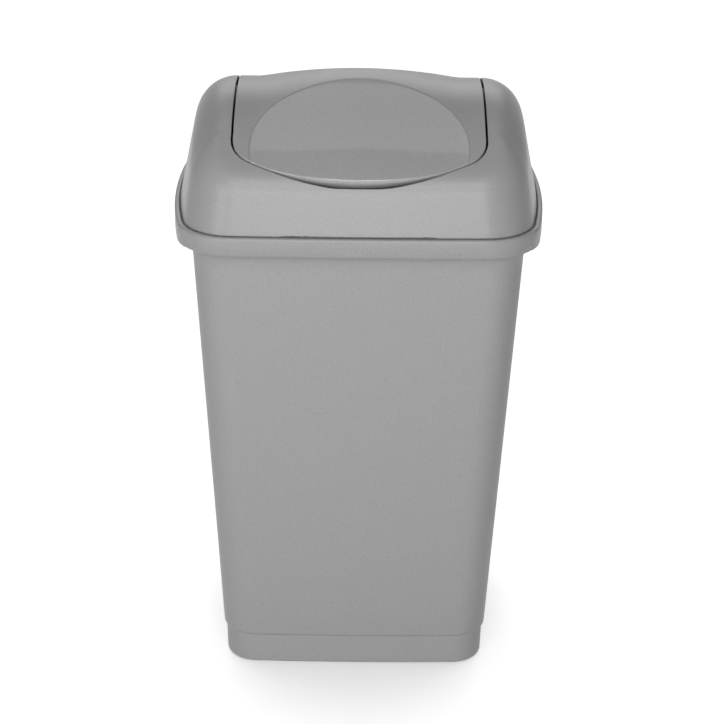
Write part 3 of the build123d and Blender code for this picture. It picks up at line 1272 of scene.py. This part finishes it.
@dataclass
class Pins:
    """The two headed pins that the flap turns on."""

    sizes: BinSizes
    radius: float = 4.0
    head_radius: float = 7.0
    head: float = 3.0
    tip: float = 1.0
    edge: float = 0.5
    sides: int = 48

    def profile(self) -> list[tuple[float, float]]:
        """Draws a pin's section.

        Returns:
            Place along the pin and radius there, from the head to the tip.
        """
        inner = self.sizes.flap_half_width - self.sizes.ear_thickness
        end = self.sizes.flap_half_width + self.sizes.swing_gap + self.sizes.bearing_length + self.tip
        return [
            (inner - self.head, self.head_radius - self.edge),
            (inner - self.head + self.edge, self.head_radius),
            (inner - MM, self.head_radius),
            (inner, self.radius),
            (end - self.tip, self.radius),
            (end, self.radius - self.tip),
        ]

    def values(self, material: Material) -> dict[str, object]:
        """Lists what the node tree is given.

        Args:
            material: The pins' material.

        Returns:
            The values by the names of the tree's inputs, lengths in metres.
        """
        values = {"Material": material, "Height": self.sizes.pivot_height * MM}
        for step, (place, radius) in enumerate(self.profile()):
            values[f"Place {step}"] = place * MM
            values[f"Radius {step}"] = radius * MM
        return values

    def by_index(self, kit: NodeKit, number: Socket, values: list[Socket]) -> Socket:
        """Adds a choice among values by a point's number.

        Args:
            kit: The tree's nodes.
            number: The point's number.
            values: The values to choose from.

        Returns:
            A socket with the chosen value.
        """
        choice = kit.add("GeometryNodeIndexSwitch")
        choice.data_type = "FLOAT"
        while len(choice.index_switch_items) < len(values):
            choice.index_switch_items.new()
        kit.feed(choice, {"Index": number, **dict(enumerate(values, start=1))})
        return choice.outputs["Output"]

    def tree(self, values: dict[str, object]) -> bpy.types.NodeTree:
        """Makes the node tree that turns one pin and sets it at both sides.

        Args:
            values: What the tree will be given, by the names of its inputs.

        Returns:
            The tree, with the pin's places and radii as named inputs.
        """
        tree = bpy.data.node_groups.new("turned_pins", "GeometryNodeTree")
        tree.interface.new_socket("Geometry", in_out="OUTPUT", socket_type="NodeSocketGeometry")
        for name in values:
            kind = "NodeSocketMaterial" if name == "Material" else "NodeSocketFloat"
            tree.interface.new_socket(name, in_out="INPUT", socket_type=kind)
        kit = NodeKit(tree)
        source = kit.add("NodeGroupInput").outputs
        number = kit.add("GeometryNodeInputIndex").outputs["Index"]
        steps = range(len(self.profile()))
        along, radius = (
            self.by_index(kit, number, [source[f"{word} {step}"] for step in steps])
            for word in ("Place", "Radius")
        )
        line = kit.add("GeometryNodeMeshLine", {"Count": len(steps)}).outputs["Mesh"]
        moved = kit.add("GeometryNodeSetPosition", {"Geometry": line, "Position": kit.vector(X=along)})
        curve = kit.add("GeometryNodeMeshToCurve", {"Mesh": moved.outputs["Geometry"]}).outputs["Curve"]
        section = kit.add("GeometryNodeCurvePrimitiveCircle", {"Resolution": self.sides, "Radius": 1.0})
        sweep = {"Curve": curve, "Profile Curve": section.outputs["Curve"], "Scale": radius}
        turned = kit.add("GeometryNodeCurveToMesh", {**sweep, "Fill Caps": True}).outputs["Mesh"]
        start = kit.vector(Z=source["Height"])
        spots = {"Count": len(SIDES), "Offset": (0.0, 0.0, 0.0), "Start Location": start}
        points = kit.add("GeometryNodeMeshLine", spots).outputs["Mesh"]
        facing = kit.vector(Z=kit.calculate("MULTIPLY", number, math.pi))
        copying = {"Points": points, "Instance": turned, "Rotation": facing}
        copies = kit.add("GeometryNodeInstanceOnPoints", copying).outputs["Instances"]
        solid = kit.add("GeometryNodeRealizeInstances", {"Geometry": copies}).outputs["Geometry"]
        dress = kit.add("GeometryNodeSetMaterial", {"Geometry": solid, "Material": source["Material"]})
        kit.add("NodeGroupOutput", {"Geometry": dress.outputs["Geometry"]})
        return tree

    def build(self, material: Material) -> None:
        """Makes both pins as one plain mesh and dresses it.

        Args:
            material: The pins' material.
        """
        values = self.values(material)
        tree = self.tree(values)
        holder = link_object("pin_maker", bpy.data.meshes.new("pin_maker"))
        maker = holder.modifiers.new("turned_pins", "NODES")
        maker.node_group = tree
        for item in tree.interface.items_tree:
            if item.in_out == "INPUT":
                maker[item.identifier] = values[item.name]
        bpy.context.view_layer.update()
        ready = holder.evaluated_get(bpy.context.evaluated_depsgraph_get())
        mesh = bpy.data.meshes.new_from_object(ready)
        bpy.data.objects.remove(holder)
        mesh.materials.clear()
        piece = link_object("pivot_pins", mesh)
        place_piece(piece, Body.FLAP, Slot.PIN, material, "pivot_pin_left", "pivot_pin_right")


def looking(place: Vector, aim: Vector) -> Matrix:
    """Placement of a lamp or a camera that stands at a place and looks at its aim."""
    facing = (aim - place).to_track_quat("-Z", "Y").to_matrix().to_4x4()
    return Matrix.Translation(place) @ facing


@dataclass(frozen=True)
class Softbox:
    """A soft rectangular lamp. Metres; the strength is how bright its face is."""

    name: str
    place: tuple[float, float, float]
    aim: tuple[float, float, float]
    width: float
    height: float
    strength: float
    mirrored_only: bool = False

    def build(self) -> None:
        """Makes the lamp and turns it to its aim."""
        lamp = bpy.data.lights.new(self.name, "AREA")
        lamp.shape = "RECTANGLE"
        lamp.size = self.width
        lamp.size_y = self.height
        lamp.energy = self.strength * math.pi * self.width * self.height
        holder = link_object(self.name, lamp)
        holder.matrix_world = looking(Vector(self.place), Vector(self.aim))
        holder.visible_diffuse = not self.mirrored_only


@dataclass(frozen=True)
class Viewpoint:
    """The photograph's camera. Angles in degrees, places in metres, the sensor in millimetres."""

    elevation: float = 24.4
    turn: float = -0.30
    roll: float = 0.69
    distance: float = 2.444
    target: tuple[float, float, float] = (0.0059, 0.0, 0.3192)
    focal_pixels: float = 2136.0
    frame_pixels: float = 724.0
    sensor: float = 36.0

    def build(self) -> None:
        """Makes the camera and hands it to the scene."""
        rise, turn = math.radians(self.elevation), math.radians(self.turn)
        back = Vector((math.sin(turn) * math.cos(rise), -math.cos(turn) * math.cos(rise), math.sin(rise)))
        lens = bpy.data.cameras.new("camera")
        lens.sensor_width = self.sensor
        lens.lens = self.focal_pixels / self.frame_pixels * self.sensor
        holder = link_object("camera", lens)
        target = Vector(self.target)
        roll = Matrix.Rotation(math.radians(self.roll), 4, "Z")
        holder.matrix_world = looking(target + back * self.distance, target) @ roll
        bpy.context.scene.camera = holder


@dataclass
class Studio:
    """White surroundings, soft lamps and the camera."""

    floor_half: float = 6.0
    floor_tone: float = 0.82
    floor_roughness: float = 0.9
    floor_glow: float = 0.96
    sky_tone: float = 0.8
    # Painted shadow: how the floor's glow fades where the bin blocks the way towards the back.
    shadow_tilt: float = 60.0
    shadow_reach: float = 0.28
    shadow_focus: float = 1.2
    shadow_samples: int = 32
    viewpoint: Viewpoint = Viewpoint()
    lamps: tuple[Softbox, ...] = (
        Softbox("front_left", (-1.5, -2.2, 0.9), (0.0, 0.0, 0.4), 1.0, 1.4, 2.9),
        Softbox("front_middle", (0.0, -2.9, 0.9), (0.0, 0.0, 0.4), 1.4, 1.2, 4.6),
        Softbox("front_high", (0.0, -2.2, 2.2), (0.0, 0.0, 0.4), 1.6, 1.0, 4.0),
        Softbox("back", (0.0, 2.2, 1.6), (0.0, 0.0, 0.4), 2.0, 1.0, 1.4),
        Softbox("over_back", (0.0, 0.62, 2.2), (0.0, 0.62, 0.0), 2.2, 1.2, 0.5, True),
        Softbox("over_left", (-0.62, 0.45, 2.1), (-0.62, 0.45, 0.0), 0.5, 0.8, 0.5, True),
        Softbox("over_right", (0.62, 0.45, 2.1), (0.62, 0.45, 0.0), 0.5, 0.8, 0.5, True),
    )

    def floor(self) -> None:
        """Makes the pale floor, white to the camera, with the bin's shadow painted into its glow."""
        half = self.floor_half
        mesh = bpy.data.meshes.new("floor")
        corners = [(-half, -half, 0), (half, -half, 0), (half, half, 0), (-half, half, 0)]
        mesh.from_pydata(corners, [], [(0, 1, 2, 3)])
        material = bpy.data.materials.new("floor")
        material.use_nodes = True
        kit = NodeKit(material.node_tree)
        paint = {
            "Base Color": (self.floor_tone, self.floor_tone, self.floor_tone, 1.0),
            "Roughness": self.floor_roughness,
            "Specular IOR Level": 0.0,
            "Emission Color": (1.0, 1.0, 1.0, 1.0),
            "Emission Strength": kit.calculate("MULTIPLY", kit.seen_rays(), self.glow_with_painted_shadow(kit)),
        }
        kit.feed(kit.tree.nodes["Principled BSDF"], paint)
        mesh.materials.append(material)
        floor = link_object("floor", mesh)

    def glow_with_painted_shadow(self, kit: NodeKit) -> Socket:
        """Adds the floor's glow, which fades where the bin stands between the floor and the back: a painted
        shadow, as if from light behind the bin.

        Args:
            kit: The floor material's nodes.

        Returns:
            A socket with the glow's strength.
        """
        tilt = math.radians(self.shadow_tilt)
        towards = kit.vector(Y=math.sin(tilt), Z=math.cos(tilt))
        share = kit.add("ShaderNodeAmbientOcclusion", {"Distance": self.shadow_reach, "Normal": towards})
        share.samples = self.shadow_samples
        blocked = kit.calculate("SUBTRACT", 1.0, share.outputs["AO"])
        deep = kit.calculate("POWER", blocked, self.shadow_focus)
        return kit.ramp(deep, (0.0, 1.0), (self.floor_glow, 0.0))

    def world(self) -> None:
        """Makes the world: pale where the camera or a reflection sees it, and no light from it."""
        world = bpy.data.worlds.new("studio")
        bpy.context.scene.world = world
        world.use_nodes = True
        world.node_tree.nodes.clear()
        kit = NodeKit(world.node_tree)
        sky = {"Color": (self.sky_tone, self.sky_tone, self.sky_tone, 1.0), "Strength": kit.seen_rays()}
        background = kit.add("ShaderNodeBackground", sky).outputs["Background"]
        kit.add("ShaderNodeOutputWorld", {"Surface": background})

    def build(self) -> None:
        """Makes everything round the bin."""
        self.floor()
        self.world()
        for lamp in self.lamps:
            lamp.build()
        self.viewpoint.build()
        bpy.context.scene.view_settings.view_transform = "Standard"


def main() -> None:
    """Builds the bin's looks, piece by piece, and its surroundings."""
    logging.basicConfig(level=logging.INFO, format="%(message)s")
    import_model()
    sizes = BinSizes()
    silver = (0.4, 0.4, 0.398)
    Tub(sizes).build(Plastic("tub_silver", silver, 0.42).build())
    Collar(sizes).build(Plastic("collar_silver", silver, 0.38).build())
    Hood(sizes).build(Plastic("hood_silver", silver, 0.34).build())
    Flap(sizes).build(Plastic("flap_silver", silver, 0.34, polish=0.12).build())
    Pins(sizes).build(Plastic("pin_grey", (0.2, 0.2, 0.2), 0.45).build())
    Studio().build()


if __name__ == "__main__":
    main()
